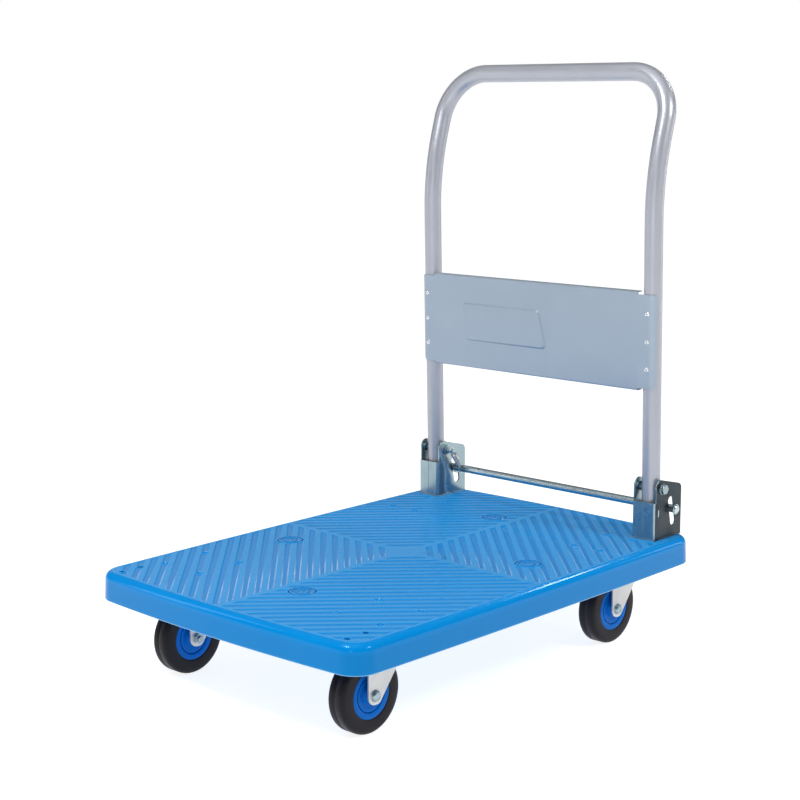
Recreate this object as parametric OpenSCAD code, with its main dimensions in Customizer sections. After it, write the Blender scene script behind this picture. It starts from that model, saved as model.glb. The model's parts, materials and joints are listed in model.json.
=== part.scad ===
// Folding platform cart: moulded deck on four casters with a fold-down tube handle.
// X runs across the deck, Y along it towards the handle, Z up. Origin on the floor under
// the middle of the deck. All sizes in millimetres.

/* [Deck] */
// Overall width of the deck
deck_w = 612; // [600:1:640]
// Overall length of the deck
deck_l = 878; // [870:1:900]
// Height of the deck's loading surface above the floor
deck_top = 180; // [178:1:190]
// Height of the deck's skirt
deck_h = 47; // [40:1:50]
// How far each side bows out past its corners
side_bow = 5; // [2:0.5:8]
// How far each end bows out past its corners
end_bow = 12.5; // [6:0.5:16]
// Plan radius of the deck's corners
deck_corner_r = 42; // [30:1:50]
// Wall thickness of the deck's skirt and top sheet
deck_wall = 4; // [3:0.5:5]

/* [Handle] */
// Distance between the two uprights, centre to centre
tube_spacing = 504; // [500:1:508]
// Outside diameter of the handle tube
tube_d = 32; // [28:0.5:32]
// Wall thickness of the handle tube
tube_wall = 1.5; // [1:0.1:3]
// Straight length of the uprights above the hinge pins
upright_l = 460; // [400:5:480]
// Angle of the rearward bend above the back panel
rake = 17.8; // [10:0.1:20]
// Bend radius of the rearward bend
rake_r = 476; // [300:1:520]
// Centreline radius of the handle's two top corners
corner_r = 86; // [70:1:100]
// Forward lean of the upright handle, in degrees
lean = 1.2; // [0:0.1:1.5]
// Height of the back panel's web
panel_h = 170; // [120:1:180]

/* [Hinge] */
// Distance of the hinge pins behind the deck's centre
pivot_y = 359; // [355:1:362]
// Height of the hinge pins
pivot_z = 270; // [268:1:274]
// Outside width of a hinge bracket
bracket_w = 48; // [46:0.5:50]
// Sheet thickness of the hinge brackets
bracket_t = 3; // [2.5:0.1:3.2]
// Diameter of the foot release bar
bar_d = 14; // [12:0.5:14]

/* [Casters] */
// Diameter of the wheels
wheel_d = 125; // [115:1:126]
// Width of the tyres
tyre_w = 34; // [28:1:34]
// Distance of the front kingpins from the centre line
front_x = 204; // [195:1:210]
// Distance of the rear wheels from the centre line
rear_x = 214; // [205:1:220]
// Trail of the swivelling front wheels
trail = 34.5; // [30:0.5:38]

/* [Hidden] */
$fn = 64;
eps = 0.01;
SIDES = [-1, 1];

// Colours
deck_blue = "dodgerblue";
tube_grey = "lightsteelblue";
panel_grey = "lightslategray";
zinc = "silver";

// Deck
deck_z = deck_top - deck_h;
edge_r = 13;
skirt_draft = 1.5;
hollow_inset = deck_wall + skirt_draft;
crown_inset = hollow_inset + edge_r / 2;
rib_t = 3;
rib_pitch = 76;
rib_z = 166;
boss_z = 158;
bores = [[-404, 3.5], [-366, 3.5]];
bore_x = 259;
plug_spots = [[-202, -80], [202, 80], [41, -284], [-41, 284]];
plug_r = 23;

// Casters
wheel_r = wheel_d / 2;
hub_r = 38.5;
fork_gap = 43;
sheet = 2.5;
leg_out = fork_gap / 2 + sheet;
axle_r = 5;
sleeve_r = 7.5;
run = 0.05;
front_king_y = -280;
front_axle_y = front_king_y - trail;
rear_axle_y = 285.5;
rear_plate_y = 274;
plate_z = 155;
crown_z = 143;
king_r = 6;
front_pitch = 88;
rear_pitch = [54, 95];

// Hinge
tube_r = tube_d / 2;
tube_x = tube_spacing / 2;
bracket_l = 81;
bracket_y = pivot_y - 22;
bracket_top = 284;
wall_top = 247;
pivot_r = 5;
tube_foot = 36;
bar_y = pivot_y + 29.5;
bar_z = pivot_z - 39.5;
slot_dir = [0, 0.2, -0.98];
slot_up = 15;
slot_down = 23.5;
spring_x = tube_x - bracket_w / 2 - 17;

// Back panel, seen square on from the front, z measured from the hinge pins
panel_t = 1.2;
panel_z = 173.5;
flange_h = 163;
flange_wrap = 57;
lip_depth = 14;
rivet_pitch = 48;

// ---------- shared helpers ----------

// Outline through corners [x, y, radius], each rounded with a tangent arc of n steps
function unit2(v) = v / norm(v);
function corner_arc(a, b, c, r, n) =
    let (u = unit2(a - b), v = unit2(c - b), half = acos(max(-1, min(1, u * v))) / 2,
         reach = r / tan(half), o = b + unit2(u + v) * r / sin(half),
         p = b + u * reach - o, q = b + v * reach - o,
         a0 = atan2(p.y, p.x), turn = atan2(p.x * q.y - p.y * q.x, p * q))
    r < 0.05 ? [b] : [for (i = [0:n]) o + r * [cos(a0 + turn * i / n), sin(a0 + turn * i / n)]];
function rounded(pts, n = 8) =
    [for (i = [0:len(pts) - 1])
        let (a = pts[(i + len(pts) - 1) % len(pts)], b = pts[i], c = pts[(i + 1) % len(pts)])
        each corner_arc([a.x, a.y], [b.x, b.y], [c.x, c.y], b[2], n)];

// Extrudes a (y, z) outline along X between two x positions
module slab_x(x0, x1) {
    translate([x0, 0, 0])
        rotate([90, 0, 90])
            linear_extrude(x1 - x0)
                children();
}

// Cylinder along X, centred on x
module rod_x(x, y, z, r, length) {
    translate([x - length / 2, y, z])
        rotate([0, 90, 0])
            cylinder(r = r, h = length);
}

// Hexagon prism across flats af, along Z
module hex(af, h) {
    cylinder(d = af / cos(30), h = h, $fn = 6);
}

module mirror_x(side) {
    mirror([side < 0 ? 1 : 0, 0, 0])
        children();
}

// ---------- deck ----------

// Arc radii of the ends and sides, and the centre of a corner arc tangent to both
half_w = deck_w / 2;
half_l = deck_l / 2;
end_r = (pow(half_w - side_bow, 2) + pow(end_bow, 2)) / (2 * end_bow);
side_r = (pow(half_l - end_bow, 2) + pow(side_bow, 2)) / (2 * side_bow);
end_o = [0, half_l - end_r];
side_o = [half_w - side_r, 0];
// Right-hand meeting point of two circles, looking from centre a to centre b
function circles_meet(a, ra, b, rb) =
    let (d = norm(b - a), u = (b - a) / d, k = (ra * ra - rb * rb + d * d) / (2 * d),
         h = sqrt(ra * ra - k * k))
    a + u * k + h * [u.y, -u.x];
corner_o = circles_meet(end_o, end_r - deck_corner_r, side_o, side_r - deck_corner_r);
end_a = atan2(corner_o.y - end_o.y, corner_o.x);
side_a = atan2(corner_o.y, corner_o.x - side_o.x);
// n points along an arc, without its last one
function arc(o, r, a0, a1, n) =
    [for (i = [0:n - 1]) let (a = a0 + (a1 - a0) * i / n) o + r * [cos(a), sin(a)]];
function quarter(inset) = concat(
    arc(side_o, side_r - inset, 0, side_a, 4),
    arc(corner_o, deck_corner_r - inset, side_a, end_a, 10),
    arc(end_o, end_r - inset, end_a, 90, 4),
    [[0, half_l - inset]]);
function deck_outline(inset) =
    let (q = quarter(inset), n = len(q))
    concat(q,
        [for (i = [n - 2:-1:0]) [-q[i].x, q[i].y]],
        [for (i = [1:n - 1]) [-q[i].x, -q[i].y]],
        [for (i = [n - 2:-1:1]) [q[i].x, -q[i].y]]);

module deck_body() {
    hull() {
        translate([0, 0, deck_z])
            linear_extrude(eps)
                polygon(deck_outline(0));
        for (a = [0:22.5:90])
            translate([0, 0, deck_top - edge_r * (1 - sin(a)) - eps])
                linear_extrude(eps)
                    polygon(deck_outline(skirt_draft + edge_r * (1 - cos(a))));
    }
}

module block(x, y, w, l, z0, z1) {
    translate([x - w / 2, y - l / 2, z0])
        cube([w, l, z1 - z0]);
}

module deck_underside() {
    top = deck_top - deck_wall + 1;
    intersection() {
        union() {
            for (i = [-3:3])
                block(i * rib_pitch, 0, rib_t, deck_l, rib_z, top);
            for (j = [-5:5])
                block(0, j * rib_pitch, deck_w, rib_t, rib_z, top);
            for (s = SIDES) {
                block(s * front_x, front_king_y, 116, 116, boss_z, top);
                block(s * rear_x, rear_plate_y, 80, 122, boss_z, top);
                block(s * tube_x, bracket_y + bracket_l / 2, bracket_w + 6, bracket_l + 6, boss_z, top);
            }
        }
        translate([0, 0, boss_z - 1])
            linear_extrude(deck_h)
                polygon(deck_outline(crown_inset - 0.5));
    }
    for (s = SIDES, b = bores)
        translate([s * bore_x, b[0], boss_z])
            cylinder(r = 9, h = top - boss_z);
    for (p = plug_spots)
        translate([p.x, p.y, deck_top - 12])
            cylinder(r = plug_r + 3, h = top - deck_top + 12);
}

function pattern(x, y, dx, dy) = [for (i = SIDES, j = SIDES) [x + i * dx / 2, y + j * dy / 2]];
screw_spots = concat(
    [for (s = SIDES) each pattern(s * front_x, front_king_y, front_pitch, front_pitch)],
    [for (s = SIDES) each pattern(s * rear_x, rear_plate_y, rear_pitch.x, rear_pitch.y)]);
bracket_bolt_y = [bracket_y + 14, bracket_y + bracket_l - 16];
bracket_spots = [for (s = SIDES, y = bracket_bolt_y) [s * tube_x, y]];
screw_l = 16;

module deck() {
    color(deck_blue)
        difference() {
            union() {
                difference() {
                    deck_body();
                    translate([0, 0, deck_z - 1])
                        linear_extrude(deck_h - edge_r + 1)
                            polygon(deck_outline(hollow_inset));
                    translate([0, 0, deck_z])
                        linear_extrude(deck_h - deck_wall)
                            polygon(deck_outline(crown_inset));
                }
                deck_underside();
            }
            for (s = SIDES, b = bores)
                translate([s * bore_x, b[0], boss_z - 1])
                    cylinder(r = b[1], h = deck_top);
            for (p = plug_spots)
                translate([p.x, p.y, deck_top - 4])
                    cylinder(r = plug_r, h = 5);
            for (p = plug_spots)
                translate([p.x, p.y, deck_top - 20])
                    cylinder(r = plug_r - 4, h = 21);
            for (p = screw_spots)
                translate([p.x, p.y, boss_z - 1])
                    cylinder(r = 4, h = screw_l);
            for (p = bracket_spots)
                translate([p.x, p.y, boss_z - 1])
                    cylinder(r = 4.2, h = deck_top);
        }
}

module deck_plugs() {
    color(deck_blue)
        for (p = plug_spots)
            translate([p.x, p.y, deck_top - 4]) {
                cylinder(r = plug_r - 0.3, h = 4.5);
                translate([0, 0, -8])
                    difference() {
                        cylinder(r = plug_r - 4, h = 8 + eps);
                        translate([0, 0, -1])
                            cylinder(r = plug_r - 6, h = 8);
                    }
            }
}

module caster_screws() {
    color(zinc)
        for (p = screw_spots)
            translate([p.x, p.y, 0]) {
                translate([0, 0, plate_z - 1.5])
                    cylinder(r = 4, h = screw_l + 2.5);
                translate([0, 0, plate_z - 1.5 - 5])
                    hex(13, 5);
            }
}

module caster_washers() {
    color(zinc)
        for (p = screw_spots)
            translate([p.x, p.y, plate_z - 1.5])
                difference() {
                    cylinder(r = 8, h = 1.5);
                    translate([0, 0, -1])
                        cylinder(r = 4.2, h = 4);
                }
}

// ---------- hinge brackets ----------

// Side plate outline in (y, z)
plate_outline = rounded([
    [bracket_y, deck_top, 0],
    [bracket_y + bracket_l, deck_top, 0],
    [bracket_y + bracket_l, 271, 11],
    [bracket_y + 13, bracket_top + 2.5, 0],
    [bracket_y, bracket_top + 1, 14]]);

// Slot that the release bar slides in, round at both ends
module bar_slot() {
    turn = atan2(slot_dir.y, -slot_dir.z);
    translate([0, bar_y, bar_z])
        rotate([turn, 0, 0]) {
            translate([-half_w, -bar_d / 2 - 0.6, -slot_down])
                cube([deck_w, bar_d + 1.2, slot_up + slot_down]);
            rod_x(0, 0, slot_up, bar_d / 2 + 0.6, deck_w);
            rod_x(0, 0, -slot_down, bar_d / 2 + 0.6, deck_w);
        }
}

module hinge_bracket(side) {
    inner = bracket_w - 2 * bracket_t;
    bend = 5;
    color(zinc)
        translate([side * tube_x, 0, 0])
            difference() {
                intersection() {
                    translate([0, 0, deck_top])
                        linear_extrude(bracket_top)
                            polygon(rounded([
                                [-bracket_w / 2, bracket_y, bend],
                                [bracket_w / 2, bracket_y, bend],
                                [bracket_w / 2, bracket_y + bracket_l, 0],
                                [-bracket_w / 2, bracket_y + bracket_l, 0]]));
                    slab_x(-bracket_w, bracket_w)
                        polygon(plate_outline);
                }
                translate([0, 0, deck_top + bracket_t])
                    linear_extrude(bracket_top)
                        polygon(rounded([
                            [-inner / 2, bracket_y + bracket_t, bend - bracket_t],
                            [inner / 2, bracket_y + bracket_t, bend - bracket_t],
                            [inner / 2, bracket_y + bracket_l + 1, 0],
                            [-inner / 2, bracket_y + bracket_l + 1, 0]]));
                translate([-inner / 2 - 1, bracket_y - 1, wall_top])
                    cube([inner + 2, bracket_l, bracket_top]);
                rod_x(0, pivot_y, pivot_z, pivot_r + run, 2 * bracket_w);
                intersection() {
                    bar_slot();
                    cube([2 * bracket_w, deck_l, deck_w], center = true);
                }
                translate([side * bracket_w / 2, bracket_y + 14, 227])
                    cube([4 * bracket_t, 7, 13], center = true);
                for (y = bracket_bolt_y)
                    translate([0, y, deck_top - 1])
                        cylinder(r = 4.2, h = 3 * bracket_t);
            }
}

module bracket_bolts() {
    color(zinc)
        for (p = bracket_spots)
            translate([p.x, p.y, 0]) {
                translate([0, 0, deck_top + bracket_t])
                    cylinder(r1 = 8.5, r2 = 5, h = 4.5);
                translate([0, 0, boss_z - 12])
                    cylinder(r = 4, h = deck_top + bracket_t - boss_z + 12);
            }
}

module bracket_washers() {
    color(zinc)
        for (p = bracket_spots)
            translate([p.x, p.y, boss_z - 2])
                difference() {
                    cylinder(r = 12, h = 2);
                    translate([0, 0, -1])
                        cylinder(r = 4.2, h = 4);
                }
}

module bracket_nuts() {
    color(zinc)
        for (p = bracket_spots)
            translate([p.x, p.y, boss_z - 8.5])
                difference() {
                    hex(13, 6.5);
                    translate([0, 0, -1])
                        cylinder(r = 4, h = 9);
                }
}

// ---------- hinge pins ----------

pin_in = tube_x - bracket_w / 2;
pin_out = tube_x + bracket_w / 2;

// The left bolt is longer: its end carries the return spring
module pivot_bolts() {
    color(zinc)
        for (s = SIDES)
            mirror_x(s) {
                tail = s < 0 ? 22 : 9;
                translate([pin_in - tail, pivot_y, pivot_z])
                    rotate([0, 90, 0])
                        cylinder(r = pivot_r, h = pin_out - pin_in + tail + 2);
                translate([pin_out + 1.5, pivot_y, pivot_z])
                    rotate([0, 90, 0])
                        hex(16, 6);
            }
}

module ring_x(x, y, z, r_out, r_in, length) {
    difference() {
        rod_x(x, y, z, r_out, length);
        rod_x(x, y, z, r_in, length + 2);
    }
}

module pivot_washers() {
    color(zinc)
        for (s = SIDES) {
            ring_x(s * (pin_out + 0.75), pivot_y, pivot_z, 10, 5.2, 1.5);
            ring_x(s * (pin_in - 0.75), pivot_y, pivot_z, 10, 5.2, 1.5);
        }
}

module pivot_nuts() {
    color(zinc)
        for (s = SIDES)
            mirror_x(s)
                translate([pin_in - 6.5, pivot_y, pivot_z])
                    rotate([0, 90, 0])
                        difference() {
                            hex(16, 5);
                            translate([0, 0, -1])
                                cylinder(r = pivot_r, h = 7);
                        }
}

// The one return spring, its closed coils drawn as one body between the left pin and the bar
module bar_spring() {
    fall = atan2(bar_y - pivot_y, pivot_z - bar_z);
    reach = norm([bar_y - pivot_y, pivot_z - bar_z]);
    gap_top = pivot_r + 0.5;
    gap_bottom = bar_d / 2 + 0.5;
    color(zinc)
        translate([-spring_x, pivot_y, pivot_z])
            rotate([180 + fall, 0, 0])
                translate([0, 0, gap_top])
                    difference() {
                        cylinder(r = 4.5, h = reach - gap_top - gap_bottom);
                        translate([0, 0, -1])
                            cylinder(r = 3.1, h = reach);
                    }
}

// ---------- release bar ----------

module release_bar() {
    color(zinc)
        rod_x(0, bar_y, bar_z, bar_d / 2, 2 * pin_out + 24);
}

module bar_collars() {
    color(zinc)
        for (s = SIDES)
            ring_x(s * (pin_in - 3.8), bar_y, bar_z, 10.5, bar_d / 2, 2.5);
}

module bar_end_caps() {
    color(zinc)
        for (s = SIDES)
            ring_x(s * (pin_out + 9), bar_y, bar_z, 9.5, bar_d / 2, 2);
}

// ---------- handle ----------

// Places children built with the hinge axis as origin and the tube straight up
module on_hinge() {
    translate([0, pivot_y, pivot_z])
        rotate([lean, 0, 0])
            children();
}

rake_end = [rake_r * (1 - cos(rake)), upright_l + rake_r * sin(rake)];
neck_l = 28;

// One run of the handle as a solid rod of radius r, drawn for the right-hand side.
// Above the rake bend the rod is a hair thinner, so that the two runs meet cleanly.
module half_handle(r) {
    neck_r = r - 0.05;
    translate([tube_x, 0, -tube_foot])
        cylinder(r = r, h = tube_foot + upright_l);
    translate([tube_x, rake_r, upright_l])
        rotate([0, -90, 0])
            rotate([0, 0, -90])
                rotate_extrude(angle = rake, $fn = 180)
                    translate([rake_r, 0])
                        circle(r = r, $fn = 48);
    translate([0, rake_end[0], rake_end[1]])
        rotate([-rake, 0, 0]) {
            translate([tube_x, 0, -1])
                cylinder(r = neck_r, h = neck_l + 1);
            translate([tube_x - corner_r, 0, neck_l])
                rotate([90, 0, 0])
                    rotate_extrude(angle = 90)
                        translate([corner_r, 0])
                            circle(r = neck_r, $fn = 48);
            translate([0, 0, neck_l + corner_r])
                rotate([0, 90, 0])
                    cylinder(r = neck_r, h = tube_x - corner_r);
        }
}

module handle_run(r) {
    half_handle(r);
    mirror([1, 0, 0])
        half_handle(r);
}

rivet_spots = [for (s = SIDES, k = [-1:1]) [s * tube_x, panel_z + panel_h / 2 + k * rivet_pitch]];

module handle_tube() {
    color(tube_grey)
        on_hinge()
            difference() {
                handle_run(tube_r);
                handle_run(tube_r - tube_wall);
                for (s = SIDES) {
                    translate([s * tube_x, 0, -tube_foot - 1])
                        cylinder(r = tube_r - tube_wall, h = 3);
                    rod_x(s * tube_x, 0, 0, 8, 2 * tube_d);
                }
                for (p = rivet_spots)
                    translate([p.x, 0, p.y])
                        rotate([90, 0, 0])
                            cylinder(r = 2.4, h = tube_d);
            }
}

module pivot_sleeves() {
    color(zinc)
        on_hinge()
            for (s = SIDES)
                ring_x(s * tube_x, 0, 0, 8, pivot_r + run, bracket_w - 2 * bracket_t - 1);
}

module tube_end_plugs() {
    r = tube_r - tube_wall;
    color("dimgray")
        on_hinge()
            for (s = SIDES)
                translate([s * tube_x, 0, -tube_foot]) {
                    translate([0, 0, -2])
                        cylinder(r = tube_r - 2, h = 2);
                    cylinder(r = r, h = 14);
                }
}

// Back panel web with rolled lips, wrapped flanges and a raised blank badge field
badge = [[-164, 295], [18, 295], [36, 224], [-155, 224]];

module badge_field(depth) {
    hull() {
        translate([0, -tube_r - panel_t + eps, 0])
            rotate([90, 0, 0])
                linear_extrude(eps)
                    polygon(rounded([for (p = badge) [p.x, p.y, 7]], 4));
        translate([0, -tube_r - panel_t - depth, 0])
            rotate([90, 0, 0])
                linear_extrude(eps)
                    polygon(rounded([for (p = badge) [p.x * 0.985 - 1, 259 + (p.y - 259) * 0.92, 6]], 4));
    }
}

module panel_flange(side) {
    mirror_x(side)
        translate([tube_x, 0, panel_z + (panel_h - flange_h) / 2])
            rotate([0, 0, -90])
                rotate_extrude(angle = flange_wrap)
                    translate([tube_r, 0])
                        square([panel_t, flange_h]);
}

module back_panel() {
    front = -tube_r - panel_t;
    lip_x = tube_x - tube_r - 3;
    color(panel_grey)
        on_hinge()
            difference() {
                union() {
                    translate([-tube_x, front, panel_z + (panel_h - flange_h) / 2])
                        cube([tube_spacing, panel_t, flange_h]);
                    translate([-lip_x, front, panel_z])
                        cube([2 * lip_x, panel_t, panel_h]);
                    for (z = [panel_z, panel_z + panel_h - panel_t])
                        translate([-lip_x, front, z])
                            cube([2 * lip_x, lip_depth, panel_t]);
                    for (s = SIDES)
                        panel_flange(s);
                    badge_field(1.8);
                }
                translate([0, panel_t, 0])
                    badge_field(1.8);
                for (p = rivet_spots)
                    translate([p.x, -tube_r + 1, p.y])
                        rotate([90, 0, 0])
                            cylinder(r = 2.4, h = 5);
            }
}

module panel_rivets() {
    color(zinc)
        on_hinge()
            for (p = rivet_spots)
                translate([p.x, -tube_r - panel_t, p.y])
                    rotate([90, 0, 0]) {
                        cylinder(r1 = 4.6, r2 = 2.8, h = 1.8);
                        translate([0, 0, -panel_t - 2])
                            cylinder(r = 2.4, h = panel_t + 2 + eps);
                    }
}

// ---------- casters ----------

// Fork leg outlines in (y, z) from the axle, round below it and leaning back above it;
// top is the height of the leg above the axle
leg_foot = [[-14, -14, 13.9], [9, -14.5, 10], [45, 31, 12]];
function swivel_leg(top) = rounded(concat(leg_foot,
    [[66, 60, 10], [66, top, 0], [-6, top, 0], [-14, top - 12, 6]]));
// The rigid leg is notched behind, clear of the plate's screw heads
function rigid_leg(top) = rounded(concat(leg_foot,
    [[60, 56, 8], [60, top - 9.5, 0], [28, top - 9.5, 0], [28, top, 0],
     [-40, top, 0], [-40, top - 6, 0], [-14, top - 32, 12]]));

module fork_legs(x, axle_y, outline) {
    for (s = SIDES)
        difference() {
            slab_x(x + s * (leg_out - sheet / 2) - sheet / 2, x + s * (leg_out - sheet / 2) + sheet / 2)
                translate([axle_y, wheel_r])
                    polygon(outline);
            rod_x(x + s * leg_out, axle_y, wheel_r, axle_r + run, 20);
        }
}

module swivel_fork(x) {
    king_y = front_king_y;
    color(zinc) {
        difference() {
            union() {
                fork_legs(x, front_axle_y, swivel_leg(crown_z + 3 - wheel_r));
                block(x, front_axle_y + 30, 2 * leg_out, 72, crown_z, crown_z + 3);
                translate([x, king_y, crown_z])
                    cylinder(r = 34, h = 3);
            }
            translate([x, king_y, crown_z - 1])
                cylinder(r = king_r + run, h = 5);
        }
    }
}

module top_plate(x) {
    color(zinc)
        difference() {
            translate([x, front_king_y, plate_z])
                linear_extrude(3)
                    polygon(rounded([for (c = [[-1, -1], [1, -1], [1, 1], [-1, 1]]) [c.x * 56, c.y * 56, 8]]));
            translate([x, front_king_y, plate_z - 1])
                cylinder(r = king_r, h = 5);
            for (p = pattern(x, front_king_y, front_pitch, front_pitch))
                translate([p.x, p.y, plate_z - 1])
                    cylinder(r = 4.5, h = 5);
        }
}

// Upper race and skirt of the swivel head, fixed under the top plate
module dust_cup(x) {
    color(zinc)
        translate([x, front_king_y, 0])
            rotate_extrude()
                polygon([[king_r + 4, plate_z], [king_r + 4, plate_z - 2], [19, plate_z - 2],
                    [22, plate_z - 4], [26, plate_z - 4], [31, plate_z - 6], [33.5, plate_z - 8.4],
                    [35, plate_z - 8.4], [35, plate_z - 6], [31, plate_z]]);
}

module kingpin(x) {
    color(zinc)
        translate([x, front_king_y, 0]) {
            translate([0, 0, crown_z - 5.3])
                cylinder(r1 = 9, r2 = 11, h = 5);
            translate([0, 0, crown_z - 1])
                cylinder(r = king_r, h = plate_z + 3 - crown_z + 1);
        }
}

module swivel_balls() {
    ball_r = 2.2;
    color(zinc)
        for (s = SIDES, i = [0:11])
            translate([s * front_x, front_king_y, crown_z + 3 + ball_r + 0.15])
                rotate([0, 0, i * 30])
                    translate([24, 0, 0])
                        sphere(r = ball_r);
}

module rigid_fork(x) {
    color(zinc)
        difference() {
            union() {
                fork_legs(x, rear_axle_y, rigid_leg(plate_z + 1 - wheel_r));
                translate([x, rear_plate_y, plate_z])
                    linear_extrude(3)
                        polygon(rounded([for (c = [[-1, -1], [1, -1], [1, 1], [-1, 1]])
                            [c.x * 38, c.y * 59, 8]]));
            }
            for (p = pattern(x, rear_plate_y, rear_pitch.x, rear_pitch.y))
                translate([p.x, p.y, plate_z - 1])
                    cylinder(r = 4.5, h = 5);
        }
}

module axle(x, y) {
    color(zinc)
        mirror_x(x) {
            rod_x(abs(x) + 2, y, wheel_r, axle_r, 2 * leg_out + 13);
            translate([abs(x) + leg_out, y, wheel_r])
                rotate([0, 90, 0])
                    hex(16, 6);
        }
}

module axle_nut(x, y) {
    color(zinc)
        mirror_x(x)
            translate([abs(x) - leg_out - 6.5, y, wheel_r])
                rotate([0, 90, 0])
                    difference() {
                        hex(16, 6.5);
                        translate([0, 0, -1])
                            cylinder(r = axle_r, h = 9);
                    }
}

module axle_sleeve(x, y) {
    color(zinc)
        ring_x(x, y, wheel_r, sleeve_r, axle_r + run, fork_gap);
}

// Half section of the hub: boss, dished web with a ring groove, rim
module hub(x, y) {
    boss = 20.5;
    color(deck_blue)
        translate([x, y, wheel_r])
            rotate([0, 90, 0])
                rotate_extrude()
                    polygon([
                        [sleeve_r + run, -boss], [14, -boss], [15.5, -12], [24, -11], [24.5, -9.5],
                        [26.5, -9.5], [27, -11], [33, -12.5], [36, -16.5], [hub_r, -17],
                        [hub_r, 17], [36, 16.5], [33, 12.5], [27, 11], [26.5, 9.5],
                        [24.5, 9.5], [24, 11], [15.5, 12], [14, boss], [sleeve_r + run, boss]]);
}

module tyre(x, y) {
    half = tyre_w / 2;
    color("black")
        translate([x, y, wheel_r])
            rotate([0, 90, 0])
                rotate_extrude($fn = 96)
                    polygon(rounded([[hub_r, -half, 0], [wheel_r, -half, 7], [wheel_r, half, 7],
                        [hub_r, half, 0]]));
}

// ---------- node selection ----------

deck();
deck_plugs();
hinge_bracket(-1);  // hinge_bracket_left
hinge_bracket(1);  // hinge_bracket_right
bracket_bolts();
bracket_washers();
bracket_nuts();
pivot_bolts();
pivot_washers();
pivot_nuts();
bar_spring();  // spring_left
release_bar();
bar_collars();
bar_end_caps();
handle_tube();
back_panel();
panel_rivets();
pivot_sleeves();
tube_end_plugs();
caster_screws();
caster_washers();
swivel_balls();

top_plate(-front_x);  // front_left_plate
kingpin(-front_x);  // front_left_kingpin
dust_cup(-front_x);  // front_left_dust_cup
swivel_fork(-front_x);  // front_left_fork
axle(-front_x, front_axle_y);  // front_left_axle
axle_nut(-front_x, front_axle_y);  // front_left_axle_nut
axle_sleeve(-front_x, front_axle_y);  // front_left_sleeve
hub(-front_x, front_axle_y);  // front_left_hub
tyre(-front_x, front_axle_y);  // front_left_tyre

top_plate(front_x);  // front_right_plate
kingpin(front_x);  // front_right_kingpin
dust_cup(front_x);  // front_right_dust_cup
swivel_fork(front_x);  // front_right_fork
axle(front_x, front_axle_y);  // front_right_axle
axle_nut(front_x, front_axle_y);  // front_right_axle_nut
axle_sleeve(front_x, front_axle_y);  // front_right_sleeve
hub(front_x, front_axle_y);  // front_right_hub
tyre(front_x, front_axle_y);  // front_right_tyre

rigid_fork(-rear_x);  // rear_left_fork
axle(-rear_x, rear_axle_y);  // rear_left_axle
axle_nut(-rear_x, rear_axle_y);  // rear_left_axle_nut
axle_sleeve(-rear_x, rear_axle_y);  // rear_left_sleeve
hub(-rear_x, rear_axle_y);  // rear_left_hub
tyre(-rear_x, rear_axle_y);  // rear_left_tyre

rigid_fork(rear_x);  // rear_right_fork
axle(rear_x, rear_axle_y);  // rear_right_axle
axle_nut(rear_x, rear_axle_y);  // rear_right_axle_nut
axle_sleeve(rear_x, rear_axle_y);  // rear_right_sleeve
hub(rear_x, rear_axle_y);  // rear_right_hub
tyre(rear_x, rear_axle_y);  // rear_right_tyre
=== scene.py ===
"""Looks of the folding platform cart: a ribbed deck, four casters and a fold-down tube handle.

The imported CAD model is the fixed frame. Most visible pieces are rebuilt here in finer mesh work;
the rest keep their CAD mesh with softened edges. Shapes are drawn in millimetres and scaled once.
"""

import json
import math

import bmesh
import bpy
import numpy as np
from mathutils import Matrix, Vector
from mathutils.geometry import delaunay_2d_cdt


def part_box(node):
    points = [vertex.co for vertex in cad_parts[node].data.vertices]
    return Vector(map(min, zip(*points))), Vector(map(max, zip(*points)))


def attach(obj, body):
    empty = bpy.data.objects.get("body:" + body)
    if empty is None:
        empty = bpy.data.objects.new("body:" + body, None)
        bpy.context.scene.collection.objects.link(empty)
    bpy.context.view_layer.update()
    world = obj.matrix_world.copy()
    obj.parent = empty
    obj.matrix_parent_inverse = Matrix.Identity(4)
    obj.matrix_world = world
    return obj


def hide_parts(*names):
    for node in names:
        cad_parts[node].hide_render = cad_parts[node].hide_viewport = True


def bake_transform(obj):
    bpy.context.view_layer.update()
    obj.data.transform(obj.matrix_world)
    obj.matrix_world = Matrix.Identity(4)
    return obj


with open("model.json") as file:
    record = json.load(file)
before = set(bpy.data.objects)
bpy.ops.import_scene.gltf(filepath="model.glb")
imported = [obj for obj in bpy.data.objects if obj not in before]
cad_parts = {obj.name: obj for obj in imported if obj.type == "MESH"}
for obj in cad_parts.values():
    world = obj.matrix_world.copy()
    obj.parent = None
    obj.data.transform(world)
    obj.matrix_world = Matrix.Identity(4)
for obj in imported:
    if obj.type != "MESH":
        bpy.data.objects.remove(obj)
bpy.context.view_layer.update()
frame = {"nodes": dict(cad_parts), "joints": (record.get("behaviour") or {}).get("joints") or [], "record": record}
MM = 0.001
TAU = 2 * math.pi
SIDES = (-1, 1)


def mm_box(node):
    """Low and high corner of a CAD node, in millimetres."""
    low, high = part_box(node)
    return np.array(low) / MM, np.array(high) / MM


def joint_point(name):
    """The point a hinge turns about, in millimetres."""
    joint = next(j for j in frame["joints"] if j["name"] == name)
    return np.array(joint["pos_m"]) / MM


# ---------------------------------------------------------------- mesh helpers


def circle(r, n, centre=(0, 0)):
    turn = [TAU * i / n for i in range(n)]
    return [(centre[0] + r * math.cos(a), centre[1] + r * math.sin(a)) for a in turn]


def arc(centre, r, a0, a1, n):
    """n + 1 points of an arc, angles in degrees."""
    turn = [math.radians(a0 + (a1 - a0) * i / n) for i in range(n + 1)]
    return [(centre[0] + r * math.cos(a), centre[1] + r * math.sin(a)) for a in turn]


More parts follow.
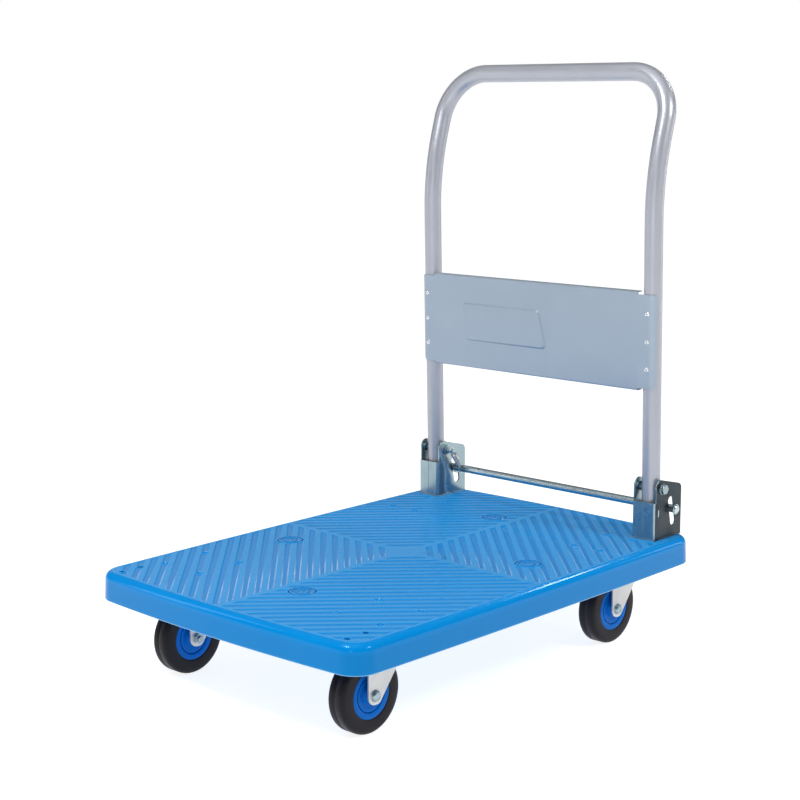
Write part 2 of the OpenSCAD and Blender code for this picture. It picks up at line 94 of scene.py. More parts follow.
def rounded(corners, n=6):
    """Outline through corners (x, y, radius), each rounded with a tangent arc."""
    out = []
    for i, (x, y, r) in enumerate(corners):
        b = Vector((x, y))
        u = (Vector(corners[i - 1][:2]) - b).normalized()
        v = (Vector(corners[(i + 1) % len(corners)][:2]) - b).normalized()
        if r < 0.05:
            out.append((x, y))
            continue
        half = math.acos(max(-1, min(1, u.dot(v)))) / 2
        o = b + (u + v).normalized() * r / math.sin(half)
        p, q = b + u * r / math.tan(half) - o, b + v * r / math.tan(half) - o
        a0, turn = math.atan2(p.y, p.x), math.atan2(p.x * q.y - p.y * q.x, p.dot(q))
        out += arc(o, r, math.degrees(a0), math.degrees(a0 + turn), n)
    return out


def inside(point, outline):
    """Whether a point lies inside a closed outline."""
    x, y = point
    hit = False
    for (ax, ay), (bx, by) in zip(outline, outline[1:] + outline[:1]):
        if (ay > y) != (by > y) and x < (bx - ax) * (y - ay) / (by - ay) + ax:
            hit = not hit
    return hit


def triangulate(loops, keep, lines=()):
    """Constrained triangles over closed loops and open lines; keep(centre) picks the ones to use."""
    points, edges = [], []
    for loop in loops:
        base, n = len(points), len(loop)
        points += [Vector(p) for p in loop]
        edges += [(base + i, base + (i + 1) % n) for i in range(n)]
    for line in lines:
        base = len(points)
        points += [Vector(p) for p in line]
        edges += [(base + i, base + i + 1) for i in range(len(line) - 1)]
    verts, _, faces, *_ = delaunay_2d_cdt(points, edges, [], 0, 1e-4)
    kept = [f for f in faces if keep(sum((verts[i] for i in f), Vector((0, 0))) / len(f))]
    return [tuple(v) for v in verts], [list(f) for f in kept]


class Shape:
    """Vertices and faces of one piece, in millimetres, gathered from several solids."""

    def __init__(self):
        self.verts, self.faces = [], []

    def add(self, verts, faces, place=None):
        base = len(self.verts)
        self.verts += [place @ Vector(v) if place else Vector(v) for v in verts]
        self.faces += [[base + i for i in f] for f in faces]
        return self

    def lathe(self, profile, n=48, place=None, closed=False):
        """Turns (radius, height) points about Z."""
        verts, rings = [], []
        for r, h in profile:
            count = 1 if r < 1e-6 else n
            rings.append([len(verts) + i for i in range(count)])
            verts += [(r * math.cos(TAU * i / n), r * math.sin(TAU * i / n), h) for i in range(count)]
        faces = []
        pairs = list(zip(rings, rings[1:])) + ([(rings[-1], rings[0])] if closed else [])
        for a, b in pairs:
            for i in range(n):
                j = (i + 1) % n
                quad = [a[i % len(a)], a[j % len(a)], b[j % len(b)], b[i % len(b)]]
                faces.append(list(dict.fromkeys(quad)))
        return self.add(verts, faces, place)

    def loft(self, loops, place=None, caps=False):
        """Joins closed loops of equal length, in order."""
        n = len(loops[0])
        verts = [p for loop in loops for p in loop]
        faces = [[k * n + i, k * n + (i + 1) % n, (k + 1) * n + (i + 1) % n, (k + 1) * n + i]
                 for k in range(len(loops) - 1) for i in range(n)]
        if caps:
            faces += [list(range(n))[::-1], list(range((len(loops) - 1) * n, len(loops) * n))]
        return self.add(verts, faces, place)

    def sweep(self, path, r, n=16, caps=True):
        """A round wire or tube along a path."""
        path = [Vector(p) for p in path]
        loops, side = [], None
        for i, p in enumerate(path):
            along = (path[min(i + 1, len(path) - 1)] - path[max(i - 1, 0)]).normalized()
            if side is None:
                side = along.orthogonal().normalized()
            side = (side - along * side.dot(along)).normalized()
            up = along.cross(side)
            ring = [side * math.cos(TAU * k / n) + up * math.sin(TAU * k / n) for k in range(n)]
            loops.append([p + way * r for way in ring])
        return self.loft(loops, caps=caps)

    def plate(self, outline, t, holes=(), place=None):
        """A flat sheet with holes, t thick along +Z."""

        def solid(c):
            return inside(c, outline) and not any(inside(c, hole) for hole in holes)

        loops = [outline, *holes]
        flat, tris = triangulate(loops, solid)
        n = len(flat)
        verts = [(x, y, t) for x, y in flat] + [(x, y, 0) for x, y in flat]
        faces = tris + [[n + i for i in f[::-1]] for f in tris]
        self.add(verts, faces, place)
        for loop in loops:
            self.loft([[(x, y, 0) for x, y in loop], [(x, y, t) for x, y in loop]], place)
        return self


def moved(x=0, y=0, z=0, turn=None):
    """A placement: turned first, then moved."""
    return Matrix.Translation((x, y, z)) @ (turn or Matrix.Identity(4))


ALONG_X = Matrix.Rotation(math.pi / 2, 4, "Y")
ALONG_BACK_X = Matrix.Rotation(-math.pi / 2, 4, "Y")

def outward(side):
    """Turns a lathe's axis to point out of the cart's left (-1) or right (1) side."""
    return ALONG_X if side > 0 else ALONG_BACK_X


# Lays a plate's (x, y) outline in the (y, z) plane, its thickness along X
PLATE_X = Matrix(((0, 0, 1, 0), (1, 0, 0, 0), (0, 1, 0, 0), (0, 0, 0, 1)))


def soften(obj, width, angle=35, segments=2):
    """Weld and a small bevel on sharp edges that leaves flat faces flat."""
    weld = obj.modifiers.new("weld", "WELD")
    weld.merge_threshold = 1e-5
    bevel = obj.modifiers.new("edges", "BEVEL")
    bevel.width, bevel.segments = width * MM, segments
    bevel.limit_method, bevel.angle_limit = "ANGLE", math.radians(angle)
    bevel.use_clamp_overlap = bevel.harden_normals = True


def piece(name, shape, material, body, nodes=(), bevel=0.0, sharp=35, merge=1e-4):
    """Makes the mesh object of a shape, and ties it to its CAD body and nodes."""
    mesh = bpy.data.meshes.new(name)
    mesh.from_pydata([tuple(v * MM) for v in shape.verts], [], shape.faces)
    bm = bmesh.new()
    bm.from_mesh(mesh)
    bmesh.ops.remove_doubles(bm, verts=bm.verts, dist=merge * MM)
    bmesh.ops.recalc_face_normals(bm, faces=bm.faces)
    if bevel:
        bmesh.ops.dissolve_limit(bm, angle_limit=math.radians(0.5), verts=bm.verts, edges=bm.edges)
    bm.to_mesh(mesh)
    bm.free()
    mesh.shade_smooth()
    if not bevel:
        mesh.set_sharp_from_angle(angle=math.radians(sharp))
    mesh.materials.append(material)
    obj = bpy.data.objects.new(name, mesh)
    bpy.context.scene.collection.objects.link(obj)
    if bevel:
        soften(obj, bevel)
    return tie(obj, body, nodes)


def tie(obj, body, nodes=()):
    if body:
        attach(obj, body)
    if nodes:
        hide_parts(*nodes)
    return obj


# ---------------------------------------------------------------- materials


class Nodes:
    """A short way to build one node material."""

    def __init__(self, name):
        self.mat = bpy.data.materials.new(name)
        self.mat.use_nodes = True
        self.tree = self.mat.node_tree
        self.shader = self.tree.nodes["Principled BSDF"]
        self.place = self.new("ShaderNodeTexCoord").outputs["Object"]

    def new(self, kind, **values):
        node = self.tree.nodes.new(kind)
        for key, value in values.items():
            setattr(node, key, value)
        return node

    def feed(self, socket, value):
        if hasattr(value, "is_output"):
            self.tree.links.new(value, socket)
        else:
            socket.default_value = value

    def stretched(self, scale):
        node = self.new("ShaderNodeMapping")
        self.feed(node.inputs["Vector"], self.place)
        node.inputs["Scale"].default_value = scale
        return node.outputs[0]

    def noise(self, scale, detail=4.0, rough=0.55, stretch=None, distortion=0.0):
        node = self.new("ShaderNodeTexNoise")
        self.feed(node.inputs["Vector"], self.stretched(stretch) if stretch else self.place)
        node.inputs["Scale"].default_value = scale
        node.inputs["Detail"].default_value = detail
        node.inputs["Roughness"].default_value = rough
        node.inputs["Distortion"].default_value = distortion
        return node.outputs["Fac"]

    def spread(self, value, low, high, to_low=0.0, to_high=1.0):
        node = self.new("ShaderNodeMapRange")
        node.inputs["From Min"].default_value, node.inputs["From Max"].default_value = low, high
        node.inputs["To Min"].default_value, node.inputs["To Max"].default_value = to_low, to_high
        self.feed(node.inputs["Value"], value)
        return node.outputs[0]

    def mix(self, factor, a, b):
        node = self.new("ShaderNodeMix", data_type="RGBA")
        self.feed(node.inputs[0], factor)
        self.feed(node.inputs[6], a if hasattr(a, "is_output") else (*a, 1))
        self.feed(node.inputs[7], b if hasattr(b, "is_output") else (*b, 1))
        return node.outputs[2]

    def maths(self, kind, a, b=0.0):
        node = self.new("ShaderNodeMath", operation=kind, use_clamp=False)
        self.feed(node.inputs[0], a)
        self.feed(node.inputs[1], b)
        return node.outputs[0]

    def edges(self, reach=0.8):
        """1 along edges, 0 on open faces; reach in millimetres."""
        rounded_normal = self.new("ShaderNodeBevel", samples=4)
        rounded_normal.inputs["Radius"].default_value = reach * MM
        turn = self.new("ShaderNodeVectorMath", operation="DOT_PRODUCT")
        self.feed(turn.inputs[0], rounded_normal.outputs[0])
        self.feed(turn.inputs[1], self.new("ShaderNodeNewGeometry").outputs["Normal"])
        return self.spread(turn.outputs["Value"], 0.99, 0.90)

    def height(self):
        node = self.new("ShaderNodeSeparateXYZ")
        self.feed(node.inputs[0], self.place)
        return node.outputs

    def bump(self, *layers):
        """layers are (height value, distance in mm)."""
        last = None
        for value, distance in layers:
            node = self.new("ShaderNodeBump")
            node.inputs["Strength"].default_value = 1.0
            node.inputs["Distance"].default_value = distance * MM
            self.feed(node.inputs["Height"], value)
            if last is not None:
                self.feed(node.inputs["Normal"], last)
            last = node.outputs[0]
        self.feed(self.shader.inputs["Normal"], last)

    def finish(self, colour, roughness, metallic=0.0, **sockets):
        self.feed(self.shader.inputs["Base Color"], colour)
        self.feed(self.shader.inputs["Roughness"], roughness)
        self.shader.inputs["Metallic"].default_value = metallic
        for name, value in sockets.items():
            self.shader.inputs[name.replace("_", " ")].default_value = value
        return self.mat


# The paler rib blue is partly wear and partly a painted sheen; the pale lip blue is a painted highlight.
RIB_WEAR_AND_SHEEN_BLUE, LIP_HIGHLIGHT_BLUE = (0.062, 0.385, 0.770), (0.220, 0.520, 0.800)
SHEEN_BLUE = (0.40, 0.80, 1.0, 1.0)


def moulded_plastic(name, deep, pale, rough, scuffs, gloss, tread_top=None):
    """Glossy moulded plastic: orange peel, fine scratches, paler worn edges and faint dust.

    The raised tread, at tread_top and higher, has a fine matt grain and is paler, partly from wear and partly from
    a painted sheen.
    """
    m = Nodes(name)
    cloud = m.spread(m.noise(9, 5, 0.6), 0.35, 0.7)
    grain = m.noise(420, 3, 0.5)
    crosswise = m.spread(m.noise(60, 6, 0.7, stretch=(1, 9, 1), distortion=0.6), 0.62, 0.74)
    lengthwise = m.spread(m.noise(55, 6, 0.7, stretch=(9, 1, 1), distortion=0.6), 0.64, 0.76)
    scratches = m.maths("MAXIMUM", crosswise, lengthwise)
    rub = m.maths("MULTIPLY", m.edges(), m.spread(m.noise(140, 4, 0.6), 0.35, 0.65))
    colour = m.mix(m.maths("MULTIPLY", cloud, 0.35), deep, pale)
    marks = m.maths("MULTIPLY", scratches, scuffs)
    colour = m.mix(m.maths("MAXIMUM", marks, m.maths("MULTIPLY", rub, 0.35)), colour, pale)
    cloudy = m.spread(m.noise(25, 4, 0.6), 0.3, 0.7, rough - 0.05, rough + 0.06)
    roughness = m.maths("ADD", cloudy, m.maths("MULTIPLY", scratches, 0.16))
    if tread_top:
        # Painted sheen and wear: the raised ribs are lightened towards a paler blue, partly standing in for a
        # sheen, and made rougher.
        raised = m.spread(m.height()["Z"], tread_top - 0.45 * MM, tread_top - 0.05 * MM)
        rib_wear_and_sheen = m.maths("MULTIPLY", raised, m.spread(m.noise(700, 3, 0.6), 0.3, 0.7, 0.75, 1.0))
        colour = m.mix(m.maths("MULTIPLY", rib_wear_and_sheen, 0.55), colour, RIB_WEAR_AND_SHEEN_BLUE)
        roughness = m.maths("ADD", roughness, m.maths("MULTIPLY", rib_wear_and_sheen, 0.25))
        # Painted shade: the skirt below the shoulder is darkened towards 0.6 of the deep blue.
        skirt = m.spread(m.height()["Z"], tread_top - 6 * MM, tread_top - 18 * MM)
        colour = m.mix(m.maths("MULTIPLY", skirt, 0.5), colour, tuple(0.6 * c for c in deep))
        # Painted highlight: a thin band at the foot of the skirt is lightened towards a pale blue.
        foot = m.spread(m.height()["Z"], tread_top - 44.6 * MM, tread_top - 46 * MM)
        colour = m.mix(m.maths("MULTIPLY", foot, 0.6), colour, LIP_HIGHLIGHT_BLUE)
    m.bump((m.noise(90, 2, 0.4), 0.016), (grain, 0.0015))
    return m.finish(colour, roughness, 0.0, IOR=gloss, Specular_Tint=SHEEN_BLUE)


def powder_coat(name, base, light, rough, metallic, worn):
    """Silvery paint over metal: fine orange peel, cloudy tone and bright worn edges."""
    m = Nodes(name)
    tone = m.spread(m.noise(14, 2, 0.45), 0.15, 0.85)
    colour = m.mix(m.maths("MULTIPLY", tone, 0.5), base, light)
    if worn:
        rub = m.maths("MULTIPLY", m.edges(), m.spread(m.noise(200, 3, 0.6), 0.4, 0.7))
        colour = m.mix(m.maths("MULTIPLY", rub, 0.5), colour, light)
    roughness = m.spread(m.noise(40, 2, 0.45), 0.15, 0.85, rough - 0.05, rough + 0.07)
    m.bump((m.noise(35, 1, 0.4), 0.02))
    return m.finish(colour, roughness, metallic, IOR=1.5)


def plated_steel(name, base, tint, rough, grain=(1, 1, 14), metallic=1.0):
    """Zinc plate: rolled grain, patchy passivation tint and brighter edges, a painted highlight."""
    m = Nodes(name)
    patch = m.spread(m.noise(26, 3, 0.5, distortion=0.4), 0.3, 0.72)
    rolled = m.noise(240, 3, 0.6, stretch=grain)
    colour = m.mix(patch, base, tint)
    lines = m.maths("MULTIPLY", m.spread(rolled, 0.35, 0.7), 0.10)
    colour = m.mix(lines, colour, tuple(c * 0.6 for c in base))
    # Painted highlight: edges are lightened towards a brighter zinc.
    bright = tuple(min(1.0, c * 1.25 + 0.08) for c in base)
    colour = m.mix(m.maths("MULTIPLY", m.edges(), 0.6), colour, bright)
    patchy = m.spread(patch, 0, 1, rough - 0.05, rough + 0.06)
    roughness = m.maths("ADD", patchy, m.spread(rolled, 0.3, 0.7, 0, 0.06))
    m.bump((rolled, 0.0002), (m.noise(80, 2, 0.4), 0.006))
    return m.finish(colour, roughness, metallic)


def rubber(name):
    """Dull black rubber with grey bloom, dust and a fine pebbled skin."""
    m = Nodes(name)
    bloom = m.spread(m.noise(24, 6, 0.65), 0.35, 0.75)
    dust = m.spread(m.noise(130, 5, 0.7), 0.5, 0.8)
    colour = m.mix(m.maths("MULTIPLY", bloom, 0.5), (0.007, 0.0065, 0.010), (0.013, 0.0125, 0.017))
    colour = m.mix(m.maths("MULTIPLY", dust, 0.25), colour, (0.032, 0.031, 0.036))
    m.bump((m.noise(500, 2, 0.5), 0.006), (m.noise(60, 3, 0.5), 0.05))
    return m.finish(colour, m.spread(dust, 0, 1, 0.42, 0.62), 0.0, IOR=1.28)


def matt_plastic(name, base):
    m = Nodes(name)
    colour = m.mix(m.spread(m.noise(40, 5, 0.6), 0.3, 0.7), base, tuple(c * 1.8 + 0.01 for c in base))
    m.bump((m.noise(300, 2, 0.5), 0.006))
    return m.finish(colour, m.spread(m.noise(60, 4, 0.6), 0.3, 0.7, 0.45, 0.6), 0.0)


LOOKS = {
    "deck_plastic": moulded_plastic("deck_plastic", (0.000, 0.232, 0.640), (0.004, 0.262, 0.670),
                                    rough=0.09, scuffs=0.06, gloss=1.34, tread_top=0.180),
    "cap_plastic": moulded_plastic("cap_plastic", (0.000, 0.215, 0.600), (0.004, 0.240, 0.640),
                                   rough=0.12, scuffs=0.06, gloss=1.50),
    "hub_plastic": moulded_plastic("hub_plastic", (0.000, 0.120, 0.500), (0.002, 0.140, 0.520),
                                   rough=0.32, scuffs=0.04, gloss=1.22),
    "tyre_rubber": rubber("tyre_rubber"),
    "tube_paint": powder_coat("tube_paint", (0.385, 0.400, 0.448), (0.440, 0.455, 0.505),
                              rough=0.36, metallic=0.5, worn=False),
    "panel_paint": powder_coat("panel_paint", (0.305, 0.372, 0.450), (0.350, 0.420, 0.500),
                               rough=0.34, metallic=0.25, worn=True),
    "zinc": plated_steel("zinc", (0.350, 0.425, 0.455), (0.270, 0.385, 0.430), 0.26),
    # Near-black zinc for the brackets' outer faces: painted shade standing in for a dark reflection.
    "shaded_zinc": plated_steel("shaded_zinc", (0.055, 0.070, 0.080), (0.030, 0.042, 0.051), 0.32),
    "zinc_bar": plated_steel("zinc_bar", (0.520, 0.600, 0.630), (0.420, 0.540, 0.600), 0.24,
                             grain=(0.6, 10, 10)),
    "fork_zinc": plated_steel("fork_zinc", (0.680, 0.675, 0.655), (0.600, 0.612, 0.622), 0.45,
                              metallic=0.6),
    "rivet_metal": plated_steel("rivet_metal", (0.850, 0.850, 0.860), (0.780, 0.790, 0.810), 0.22),
    "spring_steel": plated_steel("spring_steel", (0.780, 0.780, 0.760), (0.680, 0.700, 0.700), 0.28),
    "black_plastic": matt_plastic("black_plastic", (0.020, 0.020, 0.021)),
}

# ---------------------------------------------------------------- deck

deck_low, deck_high = mm_box("deck")
HALF_W, HALF_L, DECK_TOP, DECK_FOOT = deck_high[0], deck_high[1], deck_high[2], deck_low[2]
SIDE_BOW, END_BOW, CORNER_R = 5.0, 12.5, 42.0
DRAFT, SHOULDER_R, FOOT_R, LIP = 1.5, 13.0, 2.6, 5.4
FIELD_EDGE = DRAFT + SHOULDER_R

END_R = ((HALF_W - SIDE_BOW) ** 2 + END_BOW**2) / (2 * END_BOW)
SIDE_R = ((HALF_L - END_BOW) ** 2 + SIDE_BOW**2) / (2 * SIDE_BOW)
END_O = Vector((0, HALF_L - END_R))
SIDE_O = Vector((HALF_W - SIDE_R, 0))


def corner_centre():
    """Centre of the corner arc that touches both the side arc and the end arc."""
    ra, rb, gap = END_R - CORNER_R, SIDE_R - CORNER_R, SIDE_O - END_O
    d, u = gap.length, gap.normalized()
    k = (ra * ra - rb * rb + d * d) / (2 * d)
    return END_O + u * k + Vector((u.y, -u.x)) * math.sqrt(ra * ra - k * k)


CORNER_O = corner_centre()
END_A = math.degrees(math.atan2(CORNER_O.y - END_O.y, CORNER_O.x))
SIDE_A = math.degrees(math.atan2(CORNER_O.y, CORNER_O.x - SIDE_O.x))


def quarter_outline(inset):
    """The deck's plan outline in the +X +Y quarter, moved in by inset."""
    side = arc(SIDE_O, SIDE_R - inset, 0, SIDE_A, 14)
    corner = arc(CORNER_O, CORNER_R - inset, SIDE_A, END_A, 14)
    end = arc(END_O, END_R - inset, END_A, 90, 12)
    return side[:-1] + corner[:-1] + end[:-1] + [(0, HALF_L - inset)]


def deck_outline(inset):
    """The whole plan outline, mirrored from one quarter."""
    q = quarter_outline(inset)
    front = [(-x, -y) for x, y in q[1:]] + [(x, -y) for x, y in q[-2:0:-1]]
    return q + [(-x, y) for x, y in q[-2::-1]] + front


def inset_of(x, y):
    """How far inside the deck's outline a point is, and the outward direction there."""
    q = Vector((abs(x), abs(y)))
    angle = math.degrees(math.atan2(q.y - CORNER_O.y, q.x - CORNER_O.x))
    if SIDE_A <= angle <= END_A:
        o, r = CORNER_O, CORNER_R
    else:
        o, r = min(((SIDE_O, SIDE_R), (END_O, END_R)), key=lambda k: k[1] - (q - k[0]).length)
    out = (q - o).normalized()
    return r - (q - o).length, Vector((math.copysign(out.x, x), math.copysign(out.y, y)))


# Tread: nested diamonds of grooves in four quarters, split by flat bands
GROOVE_DEPTH, GROOVE_HALF, GROOVE_RAMP = 1.0, 6.0, 3.2
GROOVE_PITCH, FIRST_GROOVE = 20.2, 40.5
BAND, TREAD_INSET = 5.2, 16.5
STEPS = (0.0, 0.25, 0.5, 0.75, 1.0)

plug_low = mm_box("deck_plugs")[0]
PLUG_R = 23.0
PLUGS = [(-202, -80), (202, 80), (41, -284), (-41, 284)]
BORES = [(s * 259, y) for s in SIDES for y in (-404, -366)]
DIMPLES = [(s * x, y) for s in SIDES for x in (160, 248) for y in (-324, -236)]
DIMPLES += [(s * x, y) for s in SIDES for x in (187, 241) for y in (226.5, 321.5)]
PLUG_KEEP, DIMPLE_KEEP, BORE_KEEP, DIMPLE_R = PLUG_R + 0.8, 6.4, 6.2, 6.0
DIMPLE_PROFILE = ((0.0, 0.0), (1.3, -0.2), (2.2, -0.8), (3.1, -2.0), (4.0, -2.8), (5.0, -2.2), (6.0, 0.0))
BORE_R, SINK_R, SINK_DEPTH = 3.6, 6.0, 2.6
bracket_low, bracket_high = mm_box("hinge_bracket_right")
PAD = 5.0


def ramp(t):
    """A smooth step from 0 to 1."""
    t = max(0.0, min(1.0, t))
    return t * t * (3 - 2 * t)


def tread_height(x, y):
    """Height of the deck's top surface above or below its plane."""
    for px, py in DIMPLES:
        r = math.hypot(x - px, y - py)
        if r < DIMPLE_R:
            return float(np.interp(r, *zip(*DIMPLE_PROFILE)))
    for px, py in BORES:
        r = math.hypot(x - px, y - py)
        if r < SINK_R:
            return -SINK_DEPTH * min(1.0, (SINK_R - r) / (SINK_R - BORE_R))
    across = (abs(x) + abs(y)) / math.sqrt(2) - FIRST_GROOVE
    if across < -GROOVE_PITCH / 2:
        return 0.0
    off = abs(across - GROOVE_PITCH * max(0, round(across / GROOVE_PITCH)))
    room = [GROOVE_HALF - off, abs(x) - BAND, abs(y) - BAND, inset_of(x, y)[0] - TREAD_INSET]
    for spots, keep in ((PLUGS, PLUG_KEEP), (DIMPLES, DIMPLE_KEEP), (BORES, BORE_KEEP)):
        room.append(min(math.hypot(x - px, y - py) for px, py in spots) - keep)
    dx = max(bracket_low[0] - PAD - abs(x), abs(x) - bracket_high[0] - PAD)
    dy = max(bracket_low[1] - PAD - y, y - bracket_high[1] - PAD)
    room.append(max(dx, dy))
    return -GROOVE_DEPTH * ramp(min(room) / GROOVE_RAMP)


def clip(polygon, region):
    """The part of a polygon inside a convex counter-clockwise region."""
    for (ax, ay), (bx, by) in zip(region, region[1:] + region[:1]):
        side = [(bx - ax) * (y - ay) - (by - ay) * (x - ax) for x, y in polygon]
        cut = []
        for i, (p, q) in enumerate(zip(polygon, polygon[1:] + polygon[:1])):
            s, t = side[i], side[(i + 1) % len(polygon)]
            if s >= 0:
                cut.append(p)
            if s * t < 0:
                k = s / (s - t)
                cut.append((p[0] + (q[0] - p[0]) * k, p[1] + (q[1] - p[1]) * k))
        polygon = cut
        if len(polygon) < 3:
            return []
    return polygon


def tread_loops():
    """Outlines of every groove at each step of its slope, in all four quarters."""
    loops = []
    reach = (HALF_W + HALF_L) / math.sqrt(2)
    for step in STEPS:
        edge = step * GROOVE_RAMP
        quarter = [(BAND + edge, BAND + edge)]
        quarter += [p for p in quarter_outline(TREAD_INSET + edge) if min(p) > BAND + edge]
        first, last = quarter[1], quarter[-1]
        quarter.insert(1, (first[0], BAND + edge))
        quarter.append((BAND + edge, last[1]))
        for k in range(int((reach - FIRST_GROOVE) / GROOVE_PITCH) + 1):
            c, w = FIRST_GROOVE + k * GROOVE_PITCH, GROOVE_HALF - edge
            lo, hi = (c - w) * math.sqrt(2), (c + w) * math.sqrt(2)
            strip = [(lo, 0), (hi, 0), (0, hi), (0, lo)]
            part = clip(strip, quarter)
            if part:
                loops += [[(sx * x, sy * y) for x, y in part] for sx in SIDES for sy in SIDES]
    return loops


def deck_top():
    """Vertices and faces of the ribbed top sheet, cut round its holes."""
    loops = [deck_outline(FIELD_EDGE)] + tread_loops()
    for x, y in PLUGS:
        loops.append(circle(PLUG_R, 48, (x, y)))
        loops += [circle(PLUG_KEEP + s * GROOVE_RAMP, 48, (x, y)) for s in STEPS]
    for x, y in DIMPLES:
        loops += [circle(r, 24, (x, y)) for r, _ in DIMPLE_PROFILE[1:]]
        loops += [circle(DIMPLE_KEEP + s * GROOVE_RAMP, 24, (x, y)) for s in STEPS]
    for x, y in BORES:
        loops += [circle(r, 24, (x, y)) for r in (BORE_R, 4.4, 5.2, SINK_R)]
        loops += [circle(BORE_KEEP + s * GROOVE_RAMP, 24, (x, y)) for s in STEPS]
    for s in SIDES:
        for step in STEPS:
            g = PAD + step * GROOVE_RAMP
            x0, x1 = bracket_low[0] - g, bracket_high[0] + g
            y0, y1 = bracket_low[1] - g, bracket_high[1] + g
            box = [(x0, y0), (x1, y0), (x1, y1), (x0, y1)]
            loops.append([(s * x, y) for x, y in clip(box, quarter_outline(FIELD_EDGE) + [(0, 0)])])
    holes = [(p, PLUG_R) for p in PLUGS] + [(p, BORE_R) for p in BORES]

    def keep(c):
        clear = all((c - Vector(p)).length > r - 0.02 for p, r in holes)
        return clear and inset_of(*c)[0] > FIELD_EDGE - 0.05

    flat, faces = triangulate([loop for loop in loops if len(loop) > 2], keep)
    return [(x, y, DECK_TOP + tread_height(x, y)) for x, y in flat], faces


def skirt_profile():
    """(inset, z) down the deck's shoulder and skirt to the inner edge of its lip."""
    turn = [math.radians(90 - 9 * i) for i in range(11)]
    shoulder = [(DRAFT + SHOULDER_R * (1 - math.cos(a)), DECK_TOP - SHOULDER_R * (1 - math.sin(a)))
                for a in turn]
    foot = DECK_FOOT
    skirt = [(0.9, foot + 20), (0.25, foot + 6), (0.0, foot + FOOT_R)]
    return shoulder + skirt + [(0.2, foot + 1.3), (0.8, foot + 0.3), (1.7, foot), (LIP, foot)]


def deck_normal(v):
    """Smooth surface normal of the deck's outer skin at a vertex, in millimetres."""
    x, y, z = v
    inset, out = inset_of(x, y)
    if inset > FIELD_EDGE - 0.01 and z > DECK_TOP - 3:
        e = 0.02
        dx = (tread_height(x + e, y) - tread_height(x - e, y)) / (2 * e)
        dy = (tread_height(x, y + e) - tread_height(x, y - e)) / (2 * e)
        return Vector((-dx, -dy, 1)).normalized()
    if z > DECK_TOP - SHOULDER_R - 0.01:
        up = max(0.0, min(1.0, (z - DECK_TOP + SHOULDER_R) / SHOULDER_R))
        return Vector((*(out * math.sqrt(1 - up * up)), up)).normalized()
    down = max(0.0, min(1.0, (DECK_FOOT + FOOT_R - z) / FOOT_R))
    return Vector((*(out * math.sqrt(1 - down * down)), 0.03 * (1 - down) - down)).normalized()


def build_deck():
    """Ribbed top, skirt and underside, with computed normals on the outer skin."""
    shape = Shape().add(*deck_top())
    shape.loft([[(x, y, z) for x, y in deck_outline(inset)] for inset, z in skirt_profile()][::-1])
    outer = bmesh.new()
    verts = [outer.verts.new(v) for v in shape.verts]
    for f in shape.faces:
        outer.faces.new([verts[i] for i in f])
    bmesh.ops.remove_doubles(outer, verts=outer.verts, dist=0.01)
    bmesh.ops.recalc_face_normals(outer, faces=outer.faces)
    outer.verts.index_update()
    coords = [v.co.copy() for v in outer.verts]
    normals = [deck_normal(c) for c in coords]
    faces = [[v.index for v in f.verts] for f in outer.faces]
    loop_normals = [normals[i] for f in faces for i in f]
    outer.free()
    # The underside, with its ribs and bosses, is the CAD node's own
    cad = frame["nodes"]["deck"].data
    base = len(coords)
    coords += [Vector(v.co) / MM for v in cad.vertices]
    for p in cad.polygons:
        c = Vector(p.center) / MM
        if inset_of(c.x, c.y)[0] > LIP and c.z < DECK_TOP - 0.05:
            faces.append([base + i for i in p.vertices])
            loop_normals += [Vector(p.normal)] * len(p.vertices)
    mesh = bpy.data.meshes.new("deck_shell")
    mesh.from_pydata([tuple(c * MM) for c in coords], [], faces)
    mesh.shade_smooth()
    mesh.normals_split_custom_set([tuple(n) for n in loop_normals])
    mesh.materials.append(LOOKS["deck_plastic"])
    obj = bpy.data.objects.new("deck_shell", mesh)
    bpy.context.scene.collection.objects.link(obj)
    return tie(obj, "root", ["deck"])


build_deck()

CAP_RISE, CAP_WALL, CAP_T, CAP_GAP = 0.4, 2.0, 4.0, 0.7


def cap_profile():
    """(radius, height) of a round cap: a ringed top on a thin skirt that reaches under the deck."""
    r, top, under = PLUG_R - CAP_GAP, DECK_TOP + CAP_RISE, DECK_TOP - CAP_T
    inner_ring = [(3.2, top - 0.5), (4.0, top - 1.1), (5.0, top - 1.1), (5.8, top - 0.5)]
    outer_ring = [(11.6, top - 0.55), (12.6, top - 1.3), (13.6, top - 1.4), (14.8, top - 0.7)]
    rim = [(17.5, top - 0.2), (18.6, top), (r - 2.2, top - 0.3), (r - 0.8, top - 1.4), (r, top - 3.4)]
    ledge, foot = r - 4, plug_low[2]
    skirt = [(r, under), (ledge, under), (ledge, foot), (ledge - CAP_WALL, foot), (ledge - CAP_WALL, under)]
    return [(0, top - 0.5)] + inner_ring + outer_ring + rim + skirt + [(0, under)]


plugs = Shape()
for x, y in PLUGS:
    plugs.lathe(cap_profile(), 64, moved(x, y))
piece("deck_plug_caps", plugs, LOOKS["cap_plastic"], "root", ["deck_plugs"], sharp=50)

# ---------------------------------------------------------------- wheels


HUB_R, TYRE_EDGE_R = 38.5, 7.0


